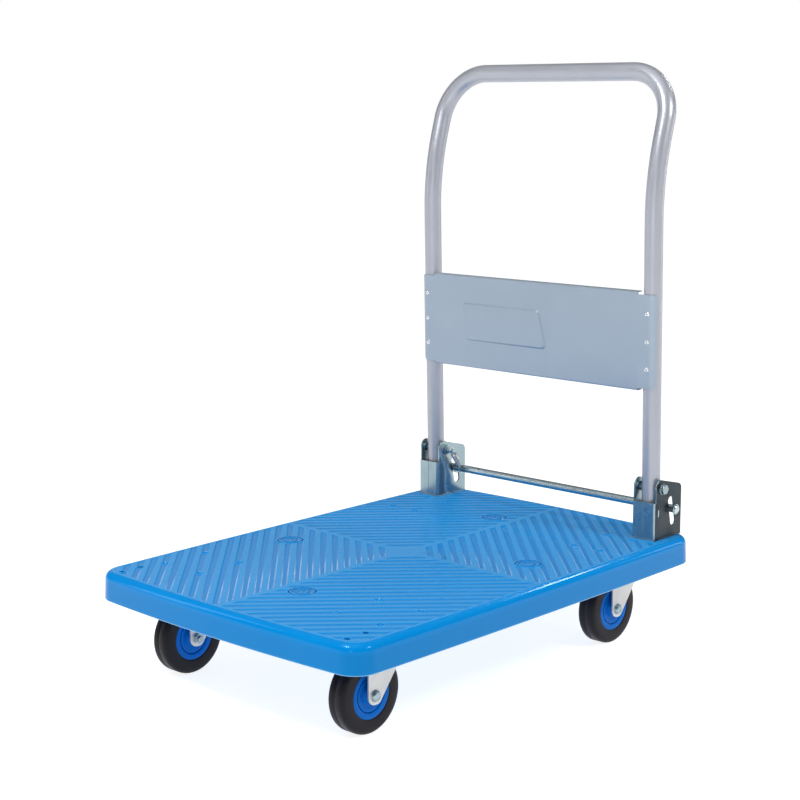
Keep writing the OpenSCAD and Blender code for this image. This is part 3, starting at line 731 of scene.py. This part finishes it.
def build_wheel(corner):
    """A tyre with rounded edges on a stepped hub disc."""
    tyre_low, tyre_high = mm_box(f"{corner}_tyre")
    centre = (tyre_low + tyre_high) / 2
    r, w = (tyre_high[2] - tyre_low[2]) / 2, (tyre_high[0] - tyre_low[0]) / 2
    place = moved(*centre, ALONG_X)
    half = [(HUB_R, w - 1.2), (HUB_R + 1.2, w - 0.4), (HUB_R + 3.0, w - 0.15)]
    half += [(r - 12, w), (r - 7.5, w - 0.35)]
    edge_r, edge_w = r - TYRE_EDGE_R, w - TYRE_EDGE_R - 0.35
    for a in (0.35, 0.7, 1.05, 1.35, 1.57):
        half.append((edge_r + TYRE_EDGE_R * math.sin(a), edge_w + TYRE_EDGE_R * math.cos(a)))
    half += [(r, w * 0.45), (r, 0.6), (r - 0.2, 0.3)]
    tyre = Shape().lathe(half + [(p, -q) for p, q in half[::-1]], 112, place, closed=True)
    body, rubber_look = f"{corner}_wheel", LOOKS["tyre_rubber"]
    piece(f"{corner}_tyre_rubber", tyre, rubber_look, body, [f"{corner}_tyre"], sharp=50)
    rim = [(HUB_R, 15.6), (HUB_R - 0.8, 16.1), (30.2, 15.3), (29.3, 14.9)]
    groove = [(28.9, 11.8), (27.7, 11.8), (27.3, 14.6), (26.4, 14.9)]
    boss = [(19, 13.6), (16.5, 13.4), (15.4, 14.6), (14.4, 19.6), (13.6, 20.4), (7.6, 20.4)]
    face = rim + groove + boss
    hub = Shape().lathe(face + [(p, -q) for p, q in face[::-1]], 96, place, closed=True)
    piece(f"{corner}_hub_disc", hub, LOOKS["hub_plastic"], body, [f"{corner}_hub"], sharp=40)


CORNERS = ("front_left", "front_right", "rear_left", "rear_right")
for corner in CORNERS:
    build_wheel(corner)

# ---------------------------------------------------------------- casters


LEG_OUT, AXLE_R, AXLE_TAIL = 24.0, 5.0, 9.0


def build_axle(corner):
    """Axle bolt with a rounded head on the outer fork leg."""
    low, high = mm_box(f"{corner}_axle")
    sign = 1 if low[0] > 0 else -1
    y, z = (low[1] + high[1]) / 2, (low[2] + high[2]) / 2
    wheel_mid = sum(side[0] for side in mm_box(f"{corner}_tyre")) / 2
    place = moved(wheel_mid + sign * LEG_OUT, y, z, outward(sign))
    end = -2 * LEG_OUT - AXLE_TAIL
    collar = [(9.6, 0), (9.6, 0.8), (9.2, 1.2), (8.4, 1.3)]
    head = [(8.2, 3.4), (7.4, 4.6), (5.6, 5.3), (4.6, 5.4), (4.3, 5.0), (0, 4.8)]
    bolt = Shape().lathe([(AXLE_R, end), (AXLE_R, 0)] + collar + head, 48, place)
    bolt.lathe([(0, end - 0.8), (AXLE_R - 0.8, end - 0.8), (AXLE_R, end)], 48, place)
    body = f"{corner}_swivel" if corner.startswith("front") else "root"
    piece(f"{corner}_axle_bolt", bolt, LOOKS["zinc"], body, [f"{corner}_axle"], sharp=40)


for corner in CORNERS:
    build_axle(corner)

# ---------------------------------------------------------------- handle

PIVOT = joint_point("handle_fold")
TUBE_X, TUBE_R, TUBE_WALL = 252.0, 16.0, 1.5
TUBE_SHRINK = 0.06  # the swept bends stay inside the CAD's box
UPRIGHT, RAKE, RAKE_R, NECK, BEND_R, FOOT = 460.0, 17.8, 476.0, 28.0, 86.0, 36.0
LEAN = Matrix.Translation(PIVOT) @ Matrix.Rotation(math.radians(1.2), 4, "X")


def handle_path():
    """Centreline of the handle from the right foot to the middle of the top bar, in the hinge frame."""
    rake = math.radians(RAKE)
    path = [(TUBE_X, 0, z) for z in np.linspace(-FOOT, UPRIGHT, 14)]
    for a in np.linspace(0, rake, 15)[1:]:
        path.append((TUBE_X, RAKE_R * (1 - math.cos(a)), UPRIGHT + RAKE_R * math.sin(a)))
    y0, z0 = path[-1][1:]
    bend = [(TUBE_X, NECK * t) for t in (0.5, 1.0)]
    for a in np.linspace(0, math.pi / 2, 25)[1:]:
        bend.append((TUBE_X - BEND_R * (1 - math.cos(a)), NECK + BEND_R * math.sin(a)))
    bend += [(x, NECK + BEND_R) for x in np.linspace(TUBE_X - BEND_R, 0, 7)[1:]]
    return path + [(x, y0 + w * math.sin(rake), z0 + w * math.cos(rake)) for x, w in bend]


right = handle_path()
whole = right + [(-x, y, z) for x, y, z in right[-2::-1]]
tube = Shape().sweep(whole, TUBE_R - TUBE_SHRINK, 56, caps=False)
bore_r = TUBE_R - TUBE_WALL
foot_end = [(TUBE_R, 0), (TUBE_R - 0.3, -0.2), (bore_r, 0), (bore_r, 12)]
for s in SIDES:
    tube.lathe(foot_end, 56, moved(s * TUBE_X, 0, -FOOT))
tube.verts = [LEAN @ v for v in tube.verts]
piece("handle_bent_tube", tube, LOOKS["tube_paint"], "handle", ["handle_tube"], sharp=60)

# ---------------------------------------------------------------- back panel

PANEL_T, PANEL_Z, PANEL_H = 1.2, 173.5, 170.0
FLANGE_H, WRAP, LIP_DEPTH = 163.0, 57.0, 14.0
WEB_X, FOLD_R = 233.0, 2.5
FRONT = TUBE_R + PANEL_T
BADGE = rounded([(-164, 295, 8), (18, 295, 9), (36, 224, 9), (-155, 224, 8)], 6)
BADGE_RISE, BADGE_SLOPE, BADGE_REACH = 2.8, 4.2, 170.0


def outline_distance(p, outline):
    """Distance from a point to an outline, positive inside."""
    best = 1e9
    x, y = p
    for (ax, ay), (bx, by) in zip(outline, outline[1:] + outline[:1]):
        ux, uy = bx - ax, by - ay
        t = max(0.0, min(1.0, ((x - ax) * ux + (y - ay) * uy) / max(ux * ux + uy * uy, 1e-9)))
        best = min(best, math.hypot(x - ax - t * ux, y - ay - t * uy))
    return best if inside(p, outline) else -best


def offset_outline(outline, d):
    """A convex outline moved inwards by d."""
    cx, cy = np.mean(outline, axis=0)
    out = []
    n = len(outline)
    for i in range(n):
        a, b, c = (Vector(outline[k % n]) for k in (i - 1, i, i + 1))
        u, v = (b - a).normalized(), (c - b).normalized()
        bis = (Vector((-u.y, u.x)) + Vector((-v.y, v.x))).normalized()
        if bis.dot(Vector((cx, cy)) - b) < 0:
            bis = -bis
        k = d / max(0.5, abs(bis.dot(Vector((-u.y, u.x)))))
        out.append(tuple(b + bis * k))
    return out


def panel_point(s, v):
    """Bends the flat sheet (s across, v up) to the panel's shape in the hinge frame."""
    z0, z1 = PANEL_Z, PANEL_Z + PANEL_H
    near_badge = abs(s) < BADGE_REACH
    lift = BADGE_RISE * ramp(outline_distance((s, v), BADGE) / BADGE_SLOPE) if near_badge else 0.0
    x, y, z = s, -FRONT - lift, v
    if abs(s) > TUBE_X:
        a = (abs(s) - TUBE_X) / FRONT
        x, y = math.copysign(TUBE_X + FRONT * math.sin(a), s), -FRONT * math.cos(a)
    for edge, way in ((z0, -1), (z1, 1)):
        over = way * (v - edge) + FOLD_R
        if over > 0:
            a = min(over / FOLD_R, math.pi / 2)
            z = edge - way * FOLD_R + way * FOLD_R * math.sin(a)
            y = -FRONT + FOLD_R * (1 - math.cos(a)) + max(0.0, over - FOLD_R * math.pi / 2)
    return x, y, z


def build_panel():
    """The back panel: one sheet bent round both uprights, with the blank pressed badge field."""
    z0, z1 = PANEL_Z, PANEL_Z + PANEL_H
    f0, f1 = z0 + (PANEL_H - FLANGE_H) / 2, z1 - (PANEL_H - FLANGE_H) / 2
    lip = LIP_DEPTH - FOLD_R + FOLD_R * (math.pi / 2 - 1)
    end = TUBE_X + FRONT * math.radians(WRAP)
    right = [(WEB_X, z0 - lip, 3), (WEB_X, f0, 2.5), (end - 9, f0, 2), (end, f0 + 7, 3)]
    right += [(end, f1, 4), (WEB_X, f1, 2.5), (WEB_X, z1 + lip, 3)]
    outline = rounded(right + [(-x, z, r) for x, z, r in right[::-1]], 4)
    lines = [[(s, z0 - lip), (s, z1 + lip)] for s in np.linspace(-TUBE_X, TUBE_X, 13)]
    for side in SIDES:
        lines += [[(side * s, f0), (side * s, f1)] for s in np.linspace(TUBE_X, end, 10)]
    for edge, way in ((z0, -1), (z1, 1)):
        rows = [edge - way * FOLD_R + way * FOLD_R * a for a in np.linspace(0, math.pi / 2, 6)]
        lines += [[(-WEB_X, v), (WEB_X, v)] for v in rows]
    badge = [offset_outline(BADGE, BADGE_SLOPE * t) for t in (0, 0.15, 0.3, 0.5, 0.7, 0.85, 1.0)]
    flat, faces = triangulate([outline] + badge, lambda c: inside(c, outline), lines)
    panel = Shape().add([LEAN @ Vector(panel_point(s, v)) for s, v in flat], faces)
    paint = LOOKS["panel_paint"]
    obj = piece("back_panel_sheet", panel, paint, "handle", ["back_panel"], sharp=70)
    sheet = obj.modifiers.new("sheet", "SOLIDIFY")
    sheet.thickness, sheet.offset, sheet.use_even_offset = PANEL_T * MM, -1, True
    edge = obj.modifiers.new("edges", "BEVEL")
    edge.width, edge.segments, edge.limit_method, edge.angle_limit = 0.35 * MM, 2, "ANGLE", math.radians(50)
    edge.harden_normals = True


build_panel()

RIVET_STEP = 48.0
RIVET = [(0, 0.9), (1.5, 0.9), (1.7, 1.5), (2.6, 1.7), (3.8, 1.3), (4.6, 0.5), (4.7, 0.0)]
RIVET += [(2.4, -0.2), (2.4, -3)]
rivets = Shape()
for s in SIDES:
    for k in (-1, 0, 1):
        height = PANEL_Z + PANEL_H / 2 + RIVET_STEP * k
        spot = moved(s * TUBE_X, -FRONT, height, Matrix.Rotation(math.pi / 2, 4, "X"))
        rivets.lathe(RIVET, 28, LEAN @ spot)
piece("panel_rivet_heads", rivets, LOOKS["rivet_metal"], "handle", ["panel_rivets"], sharp=50)

# ---------------------------------------------------------------- hinge brackets

BRACKET_W, BRACKET_T, BEND = 48.0, 3.0, 5.0
PIN_IN, PIN_OUT = TUBE_X - BRACKET_W / 2, TUBE_X + BRACKET_W / 2
B_Y0, B_Y1 = bracket_low[1], bracket_high[1]
BAR_D, SLOT_UP, SLOT_DOWN = 14.0, 15.0, 23.5
BAR_Y, BAR_Z = PIVOT[1] + 29.5, PIVOT[2] - 39.5
SLOT_DIR = Vector((0.2, -0.98)).normalized()
WALL_TOP, EAR_TOP = 247.0, 286.5


def slot_outline():
    """The bar's slot in (y, z), round at both ends."""
    bar, r = Vector((BAR_Y, BAR_Z)), BAR_D / 2 + 0.6
    low, high = bar + SLOT_DIR * SLOT_DOWN, bar - SLOT_DIR * SLOT_UP
    tilt = math.degrees(math.atan2(-SLOT_DIR.y, -SLOT_DIR.x)) - 90
    return arc(high, r, tilt, tilt + 180, 14) + arc(low, r, tilt + 180, tilt + 360, 14)


def build_bracket(name, side):
    """Two bent half shells that meet along the front wall, on a base plate."""
    shape = Shape()
    front = B_Y0 + 4
    profile = rounded([(B_Y0 + BEND, DECK_TOP, 0), (B_Y1, DECK_TOP, 2), (B_Y1, 271, 11),
                       (B_Y0 + 19, EAR_TOP, 0), (front, EAR_TOP, 14), (front, WALL_TOP + 2, 0),
                       (B_Y0 + BEND, WALL_TOP, 0)], 8)
    holes = [slot_outline(), circle(5.15, 32, (PIVOT[1], PIVOT[2]))]
    window = [(B_Y0 + 10.5, 220.5), (B_Y0 + 17.5, 220.5), (B_Y0 + 17.5, 233.5), (B_Y0 + 10.5, 233.5)]
    half, seam = BRACKET_W / 2, 0.12
    for way in SIDES:
        outer = way == side
        x = way * half - (BRACKET_T if way > 0 else 0)
        shape.plate(profile, BRACKET_T, holes + ([window] if outer else []), moved(x, 0, 0, PLATE_X))
        bend_at = (half - BEND, B_Y0 + BEND)
        plan = arc(bend_at, BEND, 0, -90, 6) + [(seam, B_Y0), (seam, B_Y0 + BRACKET_T)]
        plan += arc(bend_at, BEND - BRACKET_T, -90, 0, 4)
        plan = [(way * x, y) for x, y in plan]
        if way < 0:
            plan = plan[::-1]
        shape.plate(plan, WALL_TOP - DECK_TOP, (), moved(0, 0, DECK_TOP))
    edge, near, far = half + 0.6, B_Y0 - 1.2, B_Y1 + 0.8
    base = rounded([(-edge, near, 4), (edge, near, 4), (edge, far, 2), (-edge, far, 2)], 5)
    shape.plate(base, 2.0, (), moved(0, 0, DECK_TOP))
    shape.verts = [v + Vector((side * TUBE_X, 0, 0)) for v in shape.verts]
    obj = piece(name + "_sheet", shape, LOOKS["zinc"], "root", [name], bevel=0.45)
    # The outward faces of both outer plates take the near-black zinc: painted shade standing in for a dark
    # reflection.
    obj.data.materials.append(LOOKS["shaded_zinc"])
    for polygon in obj.data.polygons:
        if side * polygon.normal.x > 0.7 and side * polygon.center.x > (PIN_OUT - 1) * MM:
            polygon.material_index = 1


build_bracket("hinge_bracket_left", -1)
build_bracket("hinge_bracket_right", 1)

# ---------------------------------------------------------------- hinge pins, release bar, spring

LONG_TAIL, SHORT_TAIL = 22, 9


def hex_ring(r, h):
    turn = [math.radians(30 + 60 * i) for i in range(6)]
    return [(r * math.cos(a), r * math.sin(a), h) for a in turn]


pins = Shape()
for s in SIDES:
    place = moved(s * PIN_OUT, PIVOT[1], PIVOT[2], outward(s))
    length = PIN_OUT - PIN_IN
    # The left bolt is longer: its end carries the spring
    tail = SHORT_TAIL if s > 0 else LONG_TAIL
    thread = []
    for i in range(tail - SHORT_TAIL):
        h = -length - 7.5 - i
        thread += [(5.0, h), (4.5, h - 0.5)]
    tip = [(4.5, 1.4 - length - tail), (3.4, 0.4 - length - tail), (0, -length - tail)]
    pins.lathe([(5, 1.5), (5, -length - 7)] + thread + tip, 32, place)
    pins.lathe([(9.2, 1.5), (9.2, 2.4), (8.7, 2.7)], 40, place)
    pins.loft([hex_ring(9.2, 2.0), hex_ring(9.2, 6.6), hex_ring(8.2, 7.5)], place, caps=True)
piece("pivot_bolt_set", pins, LOOKS["zinc"], "root", ["pivot_bolts"], bevel=0.25)

bar_high = mm_box("release_bar")[1]
bar_r, bar_end, chamfer = BAR_D / 2, bar_high[0], 0.9
bar_half = [(0, bar_end), (bar_r - chamfer, bar_end), (bar_r, bar_end - chamfer)]
bar = Shape().lathe([(r, -x) for r, x in bar_half] + bar_half[::-1], 48, moved(0, BAR_Y, BAR_Z, ALONG_X))
piece("release_bar_rod", bar, LOOKS["zinc_bar"], "release_bar", ["release_bar"], sharp=40)

RING_GAP = 9.0
ring = [(bar_r, 0), (bar_r, -0.9), (9.2, -1.0), (9.5, -0.6), (9.4, 0.4), (8.6, 0.9), (bar_r, 1.0), (bar_r, 0)]
caps = Shape()
for s in SIDES:
    caps.lathe(ring, 40, moved(s * (PIN_OUT + RING_GAP), BAR_Y, BAR_Z, outward(s)))
piece("bar_end_rings", caps, LOOKS["zinc"], "release_bar", ["bar_end_caps"], sharp=50)


SPRING_INSET = 17.0
SPRING_X = SPRING_INSET - PIN_IN
WIRE_R, COIL_R, TURNS = 0.8, 5.3, 13
PIN_HOOK_R, BAR_HOOK_R = 5.9, 7.9


def build_spring():
    """A close-wound return spring hooked from the left hinge pin to the release bar."""
    top = Vector((SPRING_X, PIVOT[1], PIVOT[2]))
    foot = Vector((SPRING_X, BAR_Y, BAR_Z))
    along = (foot - top).normalized()
    across = Vector((-1, 0, 0))
    third = along.cross(across)
    start, end = 9.0, (foot - top).length - 11.0
    path = []
    for a in np.linspace(-0.4, math.pi, 14):
        path.append(top + (third * math.cos(a) - along * math.sin(a)) * PIN_HOOK_R)
    path += [top - third * PIN_HOOK_R + along * 4, top + third * COIL_R + along * start]
    steps = TURNS * 20
    for i in range(steps + 1):
        a = TAU * i / 20
        p = top + along * (start + (end - start) * i / steps)
        path.append(p + third * COIL_R * math.cos(a) + across * COIL_R * math.sin(a))
    path.append(foot - third * BAR_HOOK_R - along * 5)
    for a in np.linspace(0, math.pi + 0.3, 14):
        path.append(foot + (-third * math.cos(a) + along * math.sin(a)) * BAR_HOOK_R)
    coil, look = Shape().sweep(path, WIRE_R, 10), LOOKS["spring_steel"]
    obj = piece("spring_left_coil", coil, look, None, ["spring_left"], sharp=80)
    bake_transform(obj)


build_spring()

# ---------------------------------------------------------------- carried-over CAD nodes

slots = {row["node"]: row["material_slot"] for row in frame["record"]["subparts"]}
for name, node in frame["nodes"].items():
    if node.hide_render:
        continue
    node.data.materials.clear()
    node.data.materials.append(LOOKS[slots.get(name, "zinc")])
    soften(node, 0.5 if name.endswith("fork") else 0.3)

# ---------------------------------------------------------------- studio


scene = bpy.context.scene
scene.view_settings.view_transform = "Standard"
FLOOR_RINGS = (60000.0, 3000.0, 1.0)
WHITE = (1.0, 1.0, 1.0, 1.0)
LAMP_AIM = Vector((0, 0, 0.35))
# Name, direction from the cart, distance, size (metres) and power (watts)
LAMPS = (
    ("key", (-0.05, -0.62, 0.78), 3.0, (0.95, 0.60), 46),
    ("side", (0.78, 0.20, 0.59), 3.0, (0.85, 0.50), 30),
    ("back", (0.13, 0.79, 0.60), 3.6, (0.9, 0.25), 12),
    ("fill", (-0.75, -0.62, 0.35), 4.0, (0.6, 2.0), 10),
    ("front_strip", (0.45, -0.89, 0.10), 4.2, (0.35, 2.2), 15),
    ("back_strip", (0.50, 0.86, 0.10), 4.2, (0.35, 2.2), 9),
)


def linked(name, data):
    """A new object in the scene."""
    obj = bpy.data.objects.new(name, data)
    scene.collection.objects.link(obj)
    return obj


def build_floor():
    """A pale floor that runs out of sight and glows a little, so that it meets the backdrop unseen."""
    m = Nodes("pale_floor")
    tone = m.spread(m.noise(0.6, 3, 0.5), 0.3, 0.7)
    m.bump((m.noise(30, 2, 0.5), 0.02))
    m.shader.inputs["Emission Color"].default_value = WHITE
    m.shader.inputs["Emission Strength"].default_value = 0.86
    m.finish(m.mix(tone, (0.44, 0.44, 0.44), (0.47, 0.47, 0.47)), 0.9, 0.0)
    floor = Shape().loft([[(x, y, 0) for x, y in circle(r, 96)] for r in FLOOR_RINGS], caps=False)
    mesh = bpy.data.meshes.new("floor")
    mesh.from_pydata([tuple(v * MM) for v in floor.verts], [], floor.faces)
    mesh.materials.append(m.mat)
    linked("floor", mesh)


def build_backdrop():
    """White at the horizon, a dark band above it that shapes the reflections, and a pale patch."""
    scene.world = bpy.data.worlds.new("studio")
    scene.world.use_nodes = True
    tree = scene.world.node_tree
    coord = tree.nodes.new("ShaderNodeTexCoord").outputs["Generated"]
    split = tree.nodes.new("ShaderNodeSeparateXYZ")
    fade = tree.nodes.new("ShaderNodeValToRGB")
    tree.links.new(coord, split.inputs[0])
    tree.links.new(split.outputs["Z"], fade.inputs[0])
    stops = fade.color_ramp.elements
    stops[0].position, stops[0].color = 0.0, WHITE
    stops[1].position, stops[1].color = 1.0, (0.3, 0.3, 0.3, 1)
    for height, level in ((0.05, 1.0), (0.10, 0.11), (0.24, 0.07), (0.6, 0.16)):
        stop = stops.new(height)
        stop.color = (level, level, level, 1)
    # The pale patch is behind and to the left, where the deck mirrors it
    toward = tree.nodes.new("ShaderNodeVectorMath")
    toward.operation = "DOT_PRODUCT"
    toward.inputs[1].default_value = Vector((-0.80, 0.56, 0.22)).normalized()
    tree.links.new(coord, toward.inputs[0])
    glow = tree.nodes.new("ShaderNodeMapRange")
    glow.inputs["From Min"].default_value, glow.inputs["To Max"].default_value = 0.93, 0.34
    tree.links.new(toward.outputs["Value"], glow.inputs["Value"])
    both = tree.nodes.new("ShaderNodeVectorMath")
    tree.links.new(fade.outputs[0], both.inputs[0])
    tree.links.new(glow.outputs[0], both.inputs[1])
    # The dark band isn't seen itself: the backdrop stays white
    path = tree.nodes.new("ShaderNodeLightPath")
    shown = tree.nodes.new("ShaderNodeMix")
    shown.data_type = "RGBA"
    shown.inputs[7].default_value = WHITE
    tree.links.new(path.outputs["Is Camera Ray"], shown.inputs[0])
    tree.links.new(both.outputs[0], shown.inputs[6])
    tree.links.new(shown.outputs[2], tree.nodes["Background"].inputs[0])


def build_lamps():
    for name, way, distance, size, power in LAMPS:
        data = bpy.data.lights.new(name, "AREA")
        data.shape, (data.size, data.size_y), data.energy = "RECTANGLE", size, power
        lamp = linked(name, data)
        way = Vector(way).normalized()
        lamp.location = LAMP_AIM + way * distance
        lamp.rotation_euler = way.to_track_quat("Z", "Y").to_euler()
    data = bpy.data.lights.new("ceiling", "SUN")
    data.energy, data.angle = 0.65, math.radians(60)
    linked("ceiling", data).rotation_euler = Vector((-0.10, -0.30, 0.95)).to_track_quat("Z", "Y").to_euler()


def build_camera():
    """The photo's viewpoint: from the front right, a little above the handle's middle."""
    azimuth, pitch, roll = math.radians(42.99), math.radians(-10.14), math.radians(-0.175)
    camera = linked("camera", bpy.data.cameras.new("camera"))
    camera.data.sensor_width, camera.data.lens, camera.data.clip_end = 36.0, 76.21, 200
    camera.location = (1.9010, -2.0532, 0.9428)
    aim = Matrix.Rotation(azimuth, 4, "Z") @ Matrix.Rotation(math.pi / 2 + pitch, 4, "X")
    camera.rotation_euler = (aim @ Matrix.Rotation(roll, 4, "Z")).to_euler()
    scene.camera = camera


build_floor()
build_backdrop()
build_lamps()
build_camera()
